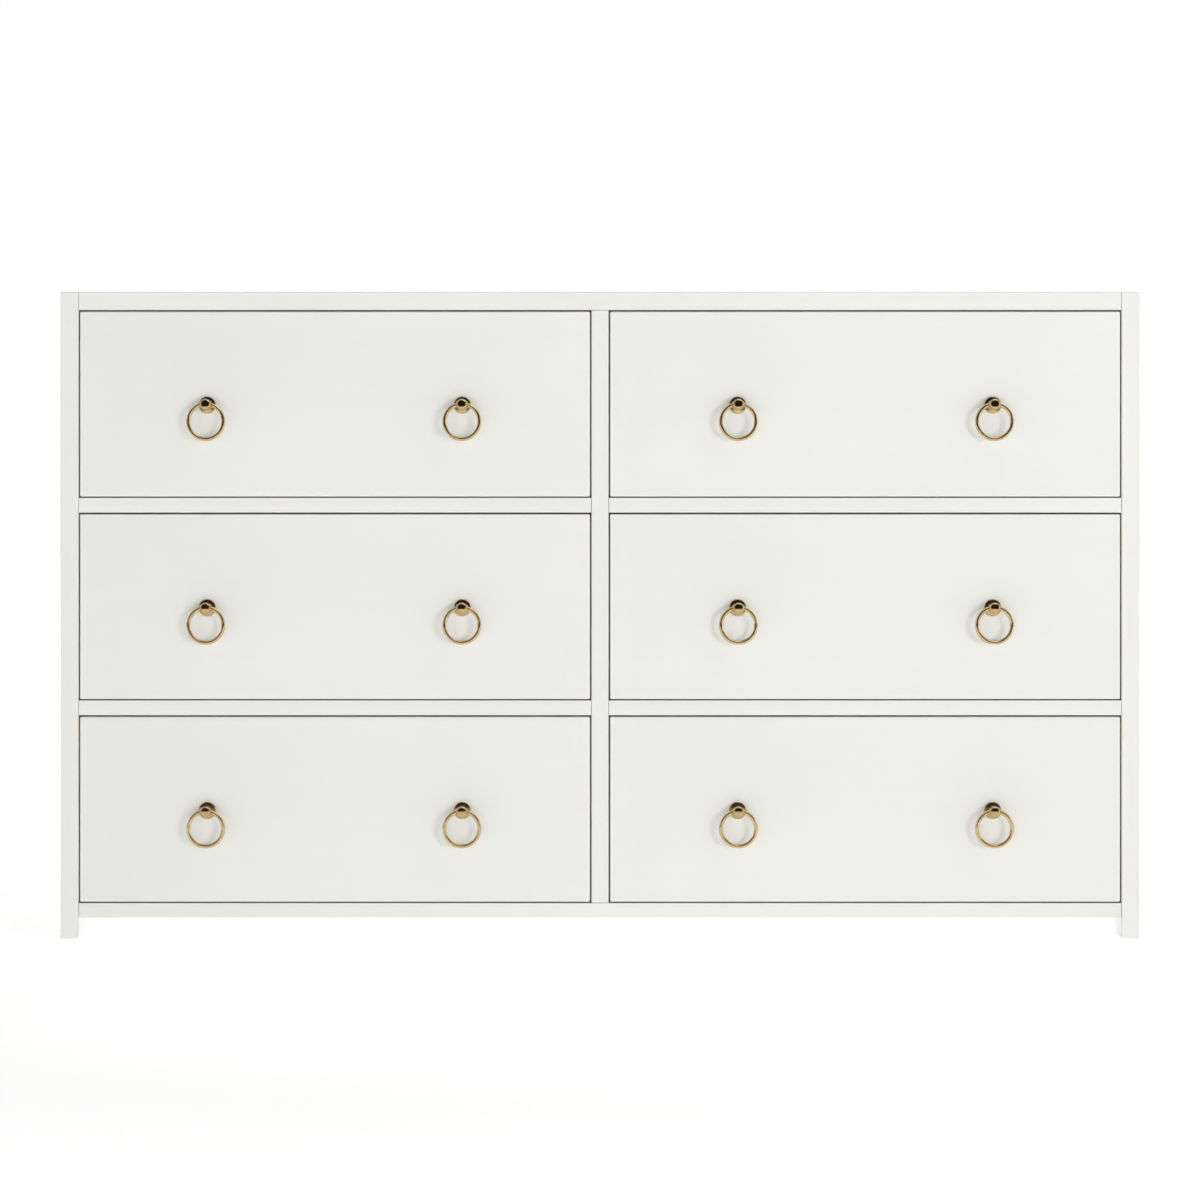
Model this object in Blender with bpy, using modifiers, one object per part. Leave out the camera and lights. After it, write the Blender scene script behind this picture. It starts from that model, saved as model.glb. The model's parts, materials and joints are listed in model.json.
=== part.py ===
"""Wide six-drawer dresser with ring pulls: a painted cabinet on plain side-panel
feet, two columns of three inset drawers, each drawer running on a wooden centre
guide and carrying two brass ring pulls that swing on their knobs.

Units are metres. +Z is up, -Y is the front, +X is the right-hand side seen from
the front. The origin is on the floor, in the middle of the whole object's box.
"""

import math

import bmesh
import bpy
from mathutils import Matrix, Vector

# ---------------------------------------------------------------- dimensions
WIDTH = 1.524
HEIGHT = 0.914
CARCASS_DEPTH = 0.457

SIDE_T = 0.0254          # side panels, floor to top
TOP_T = 0.0254           # top panel, held between the side panels
BOTTOM_T = 0.021         # bottom panel
DIVIDER_T = 0.0244       # upright between the two drawer columns
RAIL_T = 0.021           # web frames between the drawer rows
FOOT_CLEAR = 0.030       # floor to the underside of the bottom panel

BACK_T = 0.006
REBATE_DEPTH = 0.008     # step in the sides and top that holds the back panel
REBATE_WIDTH = 0.010

FOOT_LENGTH = 0.044      # front to back, where a foot meets the floor
FOOT_CURVE = 0.024       # radius of the curve that joins a foot to the arch
ARCH_TOP = 0.027

WEB_FRONT = 0.060        # widths of the four members of a web frame
WEB_BACK = 0.050
WEB_SIDE = 0.045

GUIDE_W = 0.020          # wooden centre guide under each drawer
GUIDE_H = 0.0115
GUIDE_SLACK = 0.0006     # each side of the guide, in the drawer's notch

GAP = 0.0003             # between pieces that touch
FRONT_GAP_SIDE = 0.0018  # reveal round a drawer front
FRONT_GAP_TOP = 0.0020
FRONT_GAP_BOTTOM = 0.0016

FRONT_T = 0.020          # drawer front
BOX_FRONT_T = 0.015      # inner front of the drawer box
BOX_SIDE_T = 0.0127
BOX_BACK_T = 0.0127
BOX_SLACK = 0.004        # drawer box to the bay's side
BOX_LIFT = 0.0004        # drawer box above the frame it slides on
BOX_HEIGHT = 0.206
BOX_LENGTH = 0.417
BOTTOM_PLY_T = 0.006
GROOVE_DEPTH = 0.006
GROOVE_Z = 0.014         # underside of the groove above the box's lower edge

PULL_OFFSET = 0.180      # each pull from its drawer's centre line
PULL_DROP = 0.0015       # pull axis below the centre of the drawer front
KNOB_R = 0.00775
KNOB_OUT = 0.01825       # knob centre in front of the drawer face
NECK_R = 0.0036
ROSETTE_R = 0.012
POST_R = 0.0025          # threaded post through the drawer front
POST_HOLE_R = 0.0029
NUT_R = 0.0055
NUT_T = 0.003
RING_R = 0.0246          # ring, to the middle of its wire
RING_WIRE_R = 0.00285
RING_RISE = 0.0006       # wire centre above the pivot, inside the knob
EYE_R = 0.0038           # hole across the knob, for the ring

EDGE_PANEL = 0.0010      # rounding of panel edges
EDGE_FRONT = 0.0018      # rounding of drawer fronts

# ------------------------------------------------------------ derived values
DEPTH = CARCASS_DEPTH + KNOB_OUT + KNOB_R
Y_FRONT = -DEPTH / 2 + KNOB_OUT + KNOB_R
Y_BACK = DEPTH / 2
Y_REBATE = Y_BACK - REBATE_DEPTH
X_INNER = WIDTH / 2 - SIDE_T
Z_BOTTOM = FOOT_CLEAR + BOTTOM_T
Z_TOP = HEIGHT - TOP_T
BAY_H = (Z_TOP - Z_BOTTOM - 2 * RAIL_T) / 3
BAY_W = (WIDTH - 2 * SIDE_T - DIVIDER_T) / 2
BAY_X = DIVIDER_T / 2 + BAY_W / 2
FRONT_W = BAY_W - 2 * FRONT_GAP_SIDE
FRONT_H = BAY_H - FRONT_GAP_TOP - FRONT_GAP_BOTTOM
BOX_W = BAY_W - 2 * BOX_SLACK
BOX_Y0 = Y_FRONT + FRONT_T + GAP

COLUMNS = {"left": -BAY_X, "right": BAY_X}
ROWS = {
    "bottom": Z_BOTTOM,
    "middle": Z_BOTTOM + BAY_H + RAIL_T,
    "top": Z_BOTTOM + 2 * (BAY_H + RAIL_T),
}

# ------------------------------------------------------------- start afresh
for old in list(bpy.data.objects):
    bpy.data.objects.remove(old, do_unlink=True)

parts = bpy.data.collections.new("dresser")
helpers = bpy.data.collections.new("dresser_cutters")
bpy.context.scene.collection.children.link(parts)
bpy.context.scene.collection.children.link(helpers)


# ------------------------------------------------------------------ helpers
def material(name, colour, roughness, metallic=0.0):
    mat = bpy.data.materials.new(name)
    mat.use_nodes = True
    shader = mat.node_tree.nodes["Principled BSDF"]
    shader.inputs["Base Color"].default_value = (*colour, 1.0)
    shader.inputs["Roughness"].default_value = roughness
    shader.inputs["Metallic"].default_value = metallic
    mat.diffuse_color = (*colour, 1.0)
    return mat


PAINT = material("white_paint", (0.80, 0.79, 0.76), 0.38)
PINE = material("drawer_wood", (0.62, 0.47, 0.31), 0.55)
PLY = material("plywood", (0.66, 0.53, 0.37), 0.6)
FRAMEWOOD = material("frame_wood", (0.58, 0.45, 0.30), 0.6)
BRASS = material("antique_brass", (0.56, 0.42, 0.21), 0.2, 1.0)


def place(obj, name, mat, parent=None):
    """Names a piece, gives it its material and hangs it from its parent where it stands."""
    obj.name = name
    obj.data.name = name
    obj.data.materials.clear()
    obj.data.materials.append(mat)
    for held in list(obj.users_collection):
        held.objects.unlink(obj)
    parts.objects.link(obj)
    if parent is not None:
        obj.parent = parent
        obj.matrix_parent_inverse = Matrix.Translation(-parent.location)
    return obj


def block(name, low, high):
    """A box between two corners, as a primitive cube with its scale applied."""
    low, high = Vector(low), Vector(high)
    bm = bmesh.new()
    bmesh.ops.create_cube(bm, size=1.0)
    bmesh.ops.scale(bm, vec=high - low, verts=bm.verts)
    mesh = bpy.data.meshes.new(name)
    bm.to_mesh(mesh)
    bm.free()
    obj = bpy.data.objects.new(name, mesh)
    obj.location = (low + high) / 2
    helpers.objects.link(obj)
    return obj


def cutter(obj):
    obj.hide_render = True
    obj.display_type = "WIRE"
    return obj


def round_edges(obj, width, segments=1):
    mod = obj.modifiers.new("edges", "BEVEL")
    mod.width = width
    mod.segments = segments
    mod.limit_method = "ANGLE"
    mod.angle_limit = math.radians(40)


def cut(obj, tool):
    mod = obj.modifiers.new("cut_" + tool.name, "BOOLEAN")
    mod.operation = "DIFFERENCE"
    mod.solver = "EXACT"
    mod.object = tool


def settled(obj, name):
    """The mesh that an object's modifiers make, as a new mesh in the object's own space."""
    bpy.context.view_layer.update()
    graph = bpy.context.evaluated_depsgraph_get()
    mesh = bpy.data.meshes.new_from_object(obj.evaluated_get(graph))
    mesh.name = name
    return mesh


def outline_solid(name, points, thickness):
    """A flat closed outline in X and Y, as a filled 2D curve with thickness, made a welded mesh."""
    curve = bpy.data.curves.new(name, "CURVE")
    curve.dimensions = "2D"
    curve.fill_mode = "BOTH"
    curve.extrude = thickness / 2
    spline = curve.splines.new("POLY")
    spline.points.add(len(points) - 1)
    for point, (x, y) in zip(spline.points, points):
        point.co = (x, y, 0.0, 1.0)
    spline.use_cyclic_u = True
    guide = bpy.data.objects.new(name, curve)
    helpers.objects.link(guide)
    mesh = settled(guide, name)
    bpy.data.objects.remove(guide, do_unlink=True)
    bm = bmesh.new()
    bm.from_mesh(mesh)
    bmesh.ops.remove_doubles(bm, verts=bm.verts, dist=0.00001)
    bmesh.ops.recalc_face_normals(bm, faces=bm.faces)
    bm.to_mesh(mesh)
    bm.free()
    obj = bpy.data.objects.new(name, mesh)
    helpers.objects.link(obj)
    return obj


def axle(name, radius, length, centre, along, sides=12):
    """A round bar along X or Y, centred on a point."""
    bm = bmesh.new()
    bmesh.ops.create_cone(
        bm, cap_ends=True, segments=sides, radius1=radius, radius2=radius, depth=length
    )
    turn = Matrix.Rotation(math.radians(90), 4, "Y" if along == "X" else "X")
    bmesh.ops.transform(bm, matrix=turn, verts=bm.verts)
    mesh = bpy.data.meshes.new(name)
    bm.to_mesh(mesh)
    bm.free()
    obj = bpy.data.objects.new(name, mesh)
    obj.location = centre
    helpers.objects.link(obj)
    return obj


# ------------------------------------------------------------------ carcass
def arch_points():
    """The space between a side panel's feet, drawn in (Y, Z): rounded corners at the top."""
    front = Y_FRONT + FOOT_LENGTH
    back = Y_BACK - FOOT_LENGTH
    low = -0.02
    points = [(front, low)]
    steps = 6
    for i in range(steps + 1):
        a = math.pi - i * math.pi / 2 / steps
        points.append(
            (
                front + FOOT_CURVE + FOOT_CURVE * math.cos(a),
                ARCH_TOP - FOOT_CURVE + FOOT_CURVE * math.sin(a),
            )
        )
    for i in range(steps + 1):
        a = math.pi / 2 - i * math.pi / 2 / steps
        points.append(
            (
                back - FOOT_CURVE + FOOT_CURVE * math.cos(a),
                ARCH_TOP - FOOT_CURVE + FOOT_CURVE * math.sin(a),
            )
        )
    points.append((back, low))
    return points


def side_panel(name, side):
    outer, inner = side * WIDTH / 2, side * X_INNER
    panel = block(
        name,
        (min(outer, inner), Y_FRONT, 0.0),
        (max(outer, inner), Y_BACK, HEIGHT),
    )
    round_edges(panel, EDGE_PANEL * 1.5, 2)
    arch = outline_solid(name + "_arch", arch_points(), SIDE_T * 3)
    # the outline's X becomes Y, its Y becomes Z and its thickness runs along X
    arch.data.transform(
        Matrix(((0, 0, 1, 0), (1, 0, 0, 0), (0, 1, 0, 0), (0, 0, 0, 1)))
    )
    arch.location = ((outer + inner) / 2, 0.0, 0.0)
    cut(panel, cutter(arch))
    step_x = inner + side * REBATE_WIDTH
    step = block(
        name + "_rebate",
        (min(inner - side * 0.01, step_x), Y_REBATE, FOOT_CLEAR),
        (max(inner - side * 0.01, step_x), Y_BACK + 0.01, Z_TOP + REBATE_WIDTH),
    )
    cut(panel, cutter(step))
    return place(panel, name, PAINT)


side_panel("side_panel_left", -1)
side_panel("side_panel_right", 1)

top = block(
    "top_panel", (-X_INNER + GAP, Y_FRONT, Z_TOP), (X_INNER - GAP, Y_BACK, HEIGHT)
)
round_edges(top, EDGE_PANEL, 1)
top_step = block(
    "top_panel_rebate",
    (-WIDTH, Y_REBATE, Z_TOP - 0.01),
    (WIDTH, Y_BACK + 0.01, Z_TOP + REBATE_WIDTH),
)
cut(top, cutter(top_step))
place(top, "top_panel", PAINT)

bottom = block(
    "bottom_panel",
    (-X_INNER + GAP, Y_FRONT, FOOT_CLEAR),
    (X_INNER - GAP, Y_REBATE - GAP, Z_BOTTOM),
)
round_edges(bottom, EDGE_PANEL * 0.8, 1)
place(bottom, "bottom_panel", PAINT)

divider = block(
    "center_divider",
    (-DIVIDER_T / 2, Y_FRONT, Z_BOTTOM + GAP),
    (DIVIDER_T / 2, Y_REBATE - GAP, Z_TOP - GAP),
)
round_edges(divider, EDGE_PANEL * 0.8, 1)
place(divider, "center_divider", PAINT)

back = block(
    "back_panel",
    (-X_INNER - REBATE_WIDTH + GAP, Y_REBATE + GAP, FOOT_CLEAR + GAP),
    (
        X_INNER + REBATE_WIDTH - GAP,
        Y_REBATE + GAP + BACK_T,
        Z_TOP + REBATE_WIDTH - GAP,
    ),
)
place(back, "back_panel", PLY)

# --------------------------------------------- web frames and centre guides
for row, level in (("lower", ROWS["middle"]), ("upper", ROWS["top"])):
    for column, x in COLUMNS.items():
        name = f"web_frame_{row}_{column}"
        half = BAY_W / 2 - GAP
        frame = block(
            name,
            (x - half, Y_FRONT, level - RAIL_T),
            (x + half, Y_REBATE - GAP, level),
        )
        round_edges(frame, EDGE_PANEL * 0.7, 1)
        hole = block(
            name + "_opening",
            (x - half + WEB_SIDE, Y_FRONT + WEB_FRONT, level - RAIL_T - 0.01),
            (x + half - WEB_SIDE, Y_REBATE - GAP - WEB_BACK, level + 0.01),
        )
        cut(frame, cutter(hole))
        place(frame, name, PAINT)

for row, level in ROWS.items():
    for column, x in COLUMNS.items():
        bar = block(
            "guide",
            (x - GUIDE_W / 2, BOX_Y0 + BOX_FRONT_T + 0.003, level + GAP),
            (x + GUIDE_W / 2, Y_REBATE - 2 * GAP, level + GAP + GUIDE_H),
        )
        round_edges(bar, 0.0015, 1)
        place(bar, f"drawer_guide_{row}_{column}", FRAMEWOOD)

# ------------------------------------------------------------------ drawers
# Each shared mesh is drawn round its own drawer's reference point: the middle
# of the drawer face, on the front plane.
Z_REF = FRONT_GAP_BOTTOM + FRONT_H / 2       # reference height above the bay's floor
PULL_Z = -PULL_DROP


def post_holes(name, y0, y1):
    return [
        cutter(
            axle(
                f"{name}_hole_{i}",
                POST_HOLE_R,
                y1 - y0 + 0.02,
                (side * PULL_OFFSET, (y0 + y1) / 2, PULL_Z),
                "Y",
            )
        )
        for i, side in enumerate((-1, 1), start=1)
    ]


def front_mesh():
    front = block(
        "front", (-FRONT_W / 2, 0.0, -FRONT_H / 2), (FRONT_W / 2, FRONT_T, FRONT_H / 2)
    )
    round_edges(front, EDGE_FRONT, 2)
    tools = post_holes("front", 0.0, FRONT_T)
    for tool in tools:
        cut(front, tool)
    mesh = settled(front, "drawer_front")
    mesh.transform(Matrix.Translation(front.location))
    for used in [front, *tools]:
        bpy.data.objects.remove(used, do_unlink=True)
    return mesh


def box_mesh():
    """Four walls in one glue-up, with a groove for the bottom, a notch for the guide and two post holes."""
    y0 = FRONT_T + GAP
    y1 = y0 + BOX_LENGTH
    z0 = BOX_LIFT - Z_REF
    z1 = z0 + BOX_HEIGHT
    half = BOX_W / 2
    box = block("box", (-half, y0, z0), (half, y1, z1))
    round_edges(box, 0.0012, 1)
    inner = half - BOX_SIDE_T
    tools = [
        block(
            "box_inside",
            (-inner, y0 + BOX_FRONT_T, z0 - 0.02),
            (inner, y1 - BOX_BACK_T, z1 + 0.02),
        ),
        block(
            "box_groove",
            (-inner - GROOVE_DEPTH, y0 + BOX_FRONT_T - GROOVE_DEPTH, z0 + GROOVE_Z),
            (
                inner + GROOVE_DEPTH,
                y1 - BOX_BACK_T + GROOVE_DEPTH,
                z0 + GROOVE_Z + BOTTOM_PLY_T + 2 * GAP,
            ),
        ),
        block(
            "box_notch",
            (-GUIDE_W / 2 - GUIDE_SLACK, y1 - BOX_BACK_T - 0.02, z0 - 0.02),
            (GUIDE_W / 2 + GUIDE_SLACK, y1 + 0.02, z0 + GUIDE_H + 0.0008),
        ),
    ]
    tools += post_holes("box", y0, y0 + BOX_FRONT_T)
    for tool in tools:
        cut(box, cutter(tool))
    mesh = settled(box, "drawer_box")
    mesh.transform(Matrix.Translation(box.location))
    for used in [box, *tools]:
        bpy.data.objects.remove(used, do_unlink=True)
    return mesh


def bottom_mesh():
    y0 = FRONT_T + GAP
    y1 = y0 + BOX_LENGTH
    z0 = BOX_LIFT - Z_REF + GROOVE_Z + GAP
    inner = BOX_W / 2 - BOX_SIDE_T
    sheet = block(
        "sheet",
        (
            -inner - GROOVE_DEPTH + 2 * GAP,
            y0 + BOX_FRONT_T - GROOVE_DEPTH + 2 * GAP,
            z0,
        ),
        (
            inner + GROOVE_DEPTH - 2 * GAP,
            y1 - BOX_BACK_T + GROOVE_DEPTH - 2 * GAP,
            z0 + BOTTOM_PLY_T,
        ),
    )
    mesh = settled(sheet, "drawer_bottom")
    mesh.transform(Matrix.Translation(sheet.location))
    bpy.data.objects.remove(sheet, do_unlink=True)
    return mesh


def pull_profile():
    """(radius, height) down the outside of a knob, its neck, rosette, post and nut; height 0 is the knob's centre."""
    points = [(0.0, KNOB_R)]
    for degrees in (32, 62, 90, 122):
        a = math.radians(degrees)
        points.append((KNOB_R * math.sin(a), KNOB_R * math.cos(a)))
    meet = math.sqrt(KNOB_R**2 - NECK_R**2)
    face = -KNOB_OUT
    points += [
        (NECK_R, -meet),
        (NECK_R * 1.35, face + 0.0046),
        (ROSETTE_R * 0.62, face + 0.0034),
        (ROSETTE_R * 0.93, face + 0.0025),
        (ROSETTE_R, face + 0.0014),
        (ROSETTE_R, face + GAP),
    ]
    nut = face - FRONT_T - GAP - BOX_FRONT_T - GAP
    points += [
        (POST_R, face + GAP),
        (POST_R, nut),
        (NUT_R, nut),
        (NUT_R, nut - NUT_T),
        (0.0, nut - NUT_T),
    ]
    return points


def pull_base_mesh():
    profile = pull_profile()
    mesh = bpy.data.meshes.new("pull_profile")
    mesh.from_pydata(
        [(r, 0.0, z) for r, z in profile],
        [(i, i + 1) for i in range(len(profile) - 1)],
        [],
    )
    turned = bpy.data.objects.new("pull_profile", mesh)
    helpers.objects.link(turned)
    spin = turned.modifiers.new("turn", "SCREW")
    spin.axis = "Z"
    spin.steps = spin.render_steps = 12
    spin.use_merge_vertices = True
    spin.merge_threshold = 0.00001
    eye = cutter(axle("pull_eye", EYE_R, 0.05, (0.0, 0.0, 0.0), "X"))
    cut(turned, eye)
    done = settled(turned, "pull_base")
    # the profile's height becomes the way out of the drawer face, -Y
    done.transform(Matrix.Rotation(math.radians(90), 4, "X"))
    for used in (turned, eye):
        bpy.data.objects.remove(used, do_unlink=True)
    done.shade_smooth()
    done.set_sharp_from_angle(angle=math.radians(40))
    return done


def ring_mesh():
    bpy.ops.mesh.primitive_torus_add(
        major_segments=24,
        minor_segments=6,
        major_radius=RING_R,
        minor_radius=RING_WIRE_R,
        location=(0, 0, 0),
    )
    torus = bpy.context.object
    mesh = torus.data.copy()
    mesh.name = "pull_ring"
    bpy.data.objects.remove(torus, do_unlink=True)
    mesh.transform(Matrix.Rotation(math.radians(90), 4, "X"))
    mesh.transform(Matrix.Translation((0.0, 0.0, RING_RISE - RING_R)))
    mesh.shade_smooth()
    return mesh


FRONT_MESH = front_mesh()
BOX_MESH = box_mesh()
BOTTOM_MESH = bottom_mesh()
BASE_MESH = pull_base_mesh()
RING_MESH = ring_mesh()


def copy_at(name, mesh, location, mat, parent):
    obj = bpy.data.objects.new(name, mesh.copy())
    obj.location = location
    parts.objects.link(obj)
    return place(obj, name, mat, parent)


for row, level in ROWS.items():
    for column, x in COLUMNS.items():
        tag = f"{row}_{column}"
        centre = Vector((x, Y_FRONT, level + Z_REF))
        slide = bpy.data.objects.new(f"drawer_{tag}_slide", None)
        slide.location = centre
        parts.objects.link(slide)
        copy_at(f"drawer_front_{tag}", FRONT_MESH, centre, PAINT, slide)
        copy_at(f"drawer_box_{tag}", BOX_MESH, centre, PINE, slide)
        copy_at(f"drawer_bottom_{tag}", BOTTOM_MESH, centre, PLY, slide)
        for number, side in ((1, -1), (2, 1)):
            pivot = centre + Vector((side * PULL_OFFSET, -KNOB_OUT, PULL_Z))
            copy_at(f"pull_base_{tag}_{number}", BASE_MESH, pivot, BRASS, slide)
            copy_at(f"pull_ring_{tag}_{number}", RING_MESH, pivot, BRASS, slide)
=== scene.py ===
"""Looks of the six-drawer dresser: lacquered boards, dovetailed drawer boxes and turned antique-brass ring pulls, on a pale studio floor."""

import json
import math
import random

import bmesh
import bpy
from mathutils import Matrix, Vector

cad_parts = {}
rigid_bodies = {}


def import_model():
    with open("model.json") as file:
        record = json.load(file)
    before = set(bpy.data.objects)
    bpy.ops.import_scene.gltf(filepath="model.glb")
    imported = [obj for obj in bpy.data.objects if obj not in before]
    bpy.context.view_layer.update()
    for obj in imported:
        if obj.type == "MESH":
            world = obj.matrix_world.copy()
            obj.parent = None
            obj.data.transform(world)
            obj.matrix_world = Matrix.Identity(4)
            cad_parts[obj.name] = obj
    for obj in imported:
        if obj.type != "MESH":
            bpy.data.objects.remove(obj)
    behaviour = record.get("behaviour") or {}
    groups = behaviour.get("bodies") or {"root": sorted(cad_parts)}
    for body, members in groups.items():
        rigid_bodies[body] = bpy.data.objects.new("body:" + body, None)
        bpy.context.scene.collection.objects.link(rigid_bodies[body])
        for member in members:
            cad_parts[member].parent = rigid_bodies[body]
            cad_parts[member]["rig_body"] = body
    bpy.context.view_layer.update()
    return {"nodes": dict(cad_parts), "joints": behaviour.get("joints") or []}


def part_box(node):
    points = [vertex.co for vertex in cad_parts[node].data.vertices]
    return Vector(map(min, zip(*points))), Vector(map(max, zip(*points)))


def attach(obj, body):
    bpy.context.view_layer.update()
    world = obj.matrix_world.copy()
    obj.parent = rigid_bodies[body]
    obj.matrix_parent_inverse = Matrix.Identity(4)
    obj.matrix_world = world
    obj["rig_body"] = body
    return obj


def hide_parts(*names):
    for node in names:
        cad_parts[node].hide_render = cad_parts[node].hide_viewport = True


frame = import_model()
scene = bpy.context.scene


# =================================================================== shader kit
class Nodes:
    """A small wrapper that makes and joins shader nodes."""

    def __init__(self, name):
        self.mat = bpy.data.materials.new(name)
        self.mat.use_nodes = True
        self.tree = self.mat.node_tree
        self.tree.nodes.clear()
        self.out = self.tree.nodes.new("ShaderNodeOutputMaterial")
        self.bsdf = self.tree.nodes.new("ShaderNodeBsdfPrincipled")
        self.link(self.bsdf.outputs[0], self.out.inputs["Surface"])

    def link(self, a, b):
        self.tree.links.new(a, b)

    def add(self, kind, **settings):
        node = self.tree.nodes.new("ShaderNode" + kind)
        for key, value in settings.items():
            setattr(node, key, value)
        return node

    def coords(self, scale=(1, 1, 1), shift=(0, 0, 0), kind="Object", turn=(0, 0, 0)):
        tex = self.add("TexCoord")
        mapping = self.add("Mapping")
        mapping.inputs["Scale"].default_value = scale
        mapping.inputs["Location"].default_value = shift
        mapping.inputs["Rotation"].default_value = turn
        self.link(tex.outputs[kind], mapping.inputs["Vector"])
        return mapping.outputs["Vector"]

    def attribute(self, name, scale=(1, 1, 1), shift=(0, 0, 0)):
        source = self.add("Attribute", attribute_name=name)
        mapping = self.add("Mapping")
        mapping.inputs["Scale"].default_value = scale
        mapping.inputs["Location"].default_value = shift
        self.link(source.outputs["Vector"], mapping.inputs["Vector"])
        return mapping.outputs["Vector"]

    def noise(self, vector, scale, detail=4.0, rough=0.55, distortion=0.0):
        node = self.add("TexNoise")
        node.inputs["Scale"].default_value = scale
        node.inputs["Detail"].default_value = detail
        node.inputs["Roughness"].default_value = rough
        node.inputs["Distortion"].default_value = distortion
        self.link(vector, node.inputs["Vector"])
        return node.outputs["Fac"]

    def ramp(self, value, *stops, mode="LINEAR"):
        node = self.add("ValToRGB")
        node.color_ramp.interpolation = mode
        elements = node.color_ramp.elements
        while len(elements) < len(stops):
            elements.new(0.5)
        for element, (at, colour) in zip(elements, stops):
            element.position = at
            element.color = (*colour, 1.0) if len(colour) == 3 else colour
        self.link(value, node.inputs["Fac"])
        return node.outputs["Color"]

    def span(self, value, low, high, to_low, to_high):
        node = self.add("MapRange")
        node.clamp = True
        for key, v in zip(
            ("From Min", "From Max", "To Min", "To Max"), (low, high, to_low, to_high)
        ):
            node.inputs[key].default_value = v
        self.link(value, node.inputs["Value"])
        return node.outputs["Result"]

    def math(self, operation, a, b=None):
        node = self.add("Math", operation=operation)
        for socket, value in zip(node.inputs, (a, b)):
            if value is None:
                continue
            if isinstance(value, (int, float)):
                socket.default_value = value
            else:
                self.link(value, socket)
        return node.outputs[0]

    def mix(self, factor, a, b, blend="MIX"):
        node = self.add("Mix", data_type="RGBA", blend_type=blend)
        pairs = ((node.inputs[0], factor), (node.inputs[6], a), (node.inputs[7], b))
        for socket, value in pairs:
            if isinstance(value, (int, float)):
                socket.default_value = value
            elif isinstance(value, tuple):
                socket.default_value = (*value, 1.0)
            else:
                self.link(value, socket)
        return node.outputs[2]

    def split(self, vector):
        node = self.add("SeparateXYZ")
        self.link(vector, node.inputs[0])
        return node.outputs

    def bump(self, height, distance, strength=1.0, under=None):
        node = self.add("Bump")
        node.inputs["Distance"].default_value = distance
        node.inputs["Strength"].default_value = strength
        self.link(height, node.inputs["Height"])
        if under is not None:
            self.link(under, node.inputs["Normal"])
        return node.outputs["Normal"]

    def set(self, **values):
        for key, value in values.items():
            socket = self.bsdf.inputs[key.replace("_", " ")]
            if isinstance(value, (int, float)):
                socket.default_value = value
            elif isinstance(value, tuple):
                socket.default_value = (*value, 1.0)
            else:
                self.link(value, socket)


PAINT_LOW, PAINT_HIGH = (0.802, 0.803, 0.768), (0.832, 0.832, 0.798)


def lacquer(name, grain="X", inside=()):
    """Satin white lacquer: warm white, a trace of mottling, fine roller texture and barely telegraphed grain. Inside the carcass the lacquer feathers out on to bare wood; each of inside is (axis, from, to), where the wood shows."""
    n = Nodes(name)
    at = n.coords()
    along = {"X": (1.5, 60, 60), "Y": (60, 1.5, 60), "Z": (60, 60, 1.5)}[grain]
    cloud = n.noise(at, 2.6, 3.0)
    mottled = n.ramp(cloud, (0.30, PAINT_LOW), (0.70, PAINT_HIGH))
    streak = n.noise(n.coords(scale=along), 1.0, 5.0, 0.6)
    colour = n.mix(
        n.span(streak, 0.35, 0.7, 0.0, 0.16), mottled, (0.785, 0.778, 0.735)
    )
    # thin, rubbed lacquer shows brown along the edges
    worn = n.add("Attribute", attribute_name="wear").outputs["Fac"]
    rubbed = n.math("MULTIPLY", worn, n.span(n.noise(at, 38.0, 4.0, 0.6), 0.36, 0.66, 0.25, 0.85))
    colour = n.mix(rubbed, colour, (0.47, 0.345, 0.23))
    peel = n.noise(at, 420.0, 2.0, 0.5)
    rough = n.math(
        "ADD",
        n.span(cloud, 0.3, 0.7, 0.33, 0.40),
        n.span(n.noise(at, 55.0, 3.0), 0.3, 0.7, -0.02, 0.03),
    )
    normal = n.bump(peel, 0.00006, 0.5)
    normal = n.bump(streak, 0.00012, 0.35, under=normal)
    if inside:
        x, y, z = n.split(at)
        ragged = n.math("ADD", y, n.math("MULTIPLY", n.noise(at, 160.0, 3.0), 0.0024))
        bare = n.span(ragged, INSIDE_FROM, INSIDE_FROM + 0.0018, 0.0, 1.0)
        for axis, start, stop in inside:
            value = {"X": n.math("ABSOLUTE", x), "Z": z}[axis]
            bare = n.math("MULTIPLY", bare, n.span(value, start, stop, 0.0, 1.0))
        fibre = n.noise(n.attribute("grain", (16, 650, 650)), 1.0, 2.0, 0.6)
        wave = n.noise(n.attribute("grain", (1.2, 30, 30)), 1.0, 4.0, 0.6, 0.4)
        wood = n.mix(
            n.span(fibre, 0.56, 0.72, 0.0, 0.5),
            n.ramp(wave, (0.25, (0.43, 0.29, 0.16)), (0.65, (0.58, 0.42, 0.26))),
            (0.28, 0.175, 0.09),
        )
        colour = n.mix(bare, colour, wood)
        rough = n.math("MAXIMUM", rough, n.math("MULTIPLY", bare, 0.58))
    n.set(Base_Color=colour, Roughness=rough, Normal=normal)
    n.set(Specular_IOR_Level=0.45, Coat_Weight=0.12, Coat_Roughness=0.28)
    return n.mat


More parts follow.
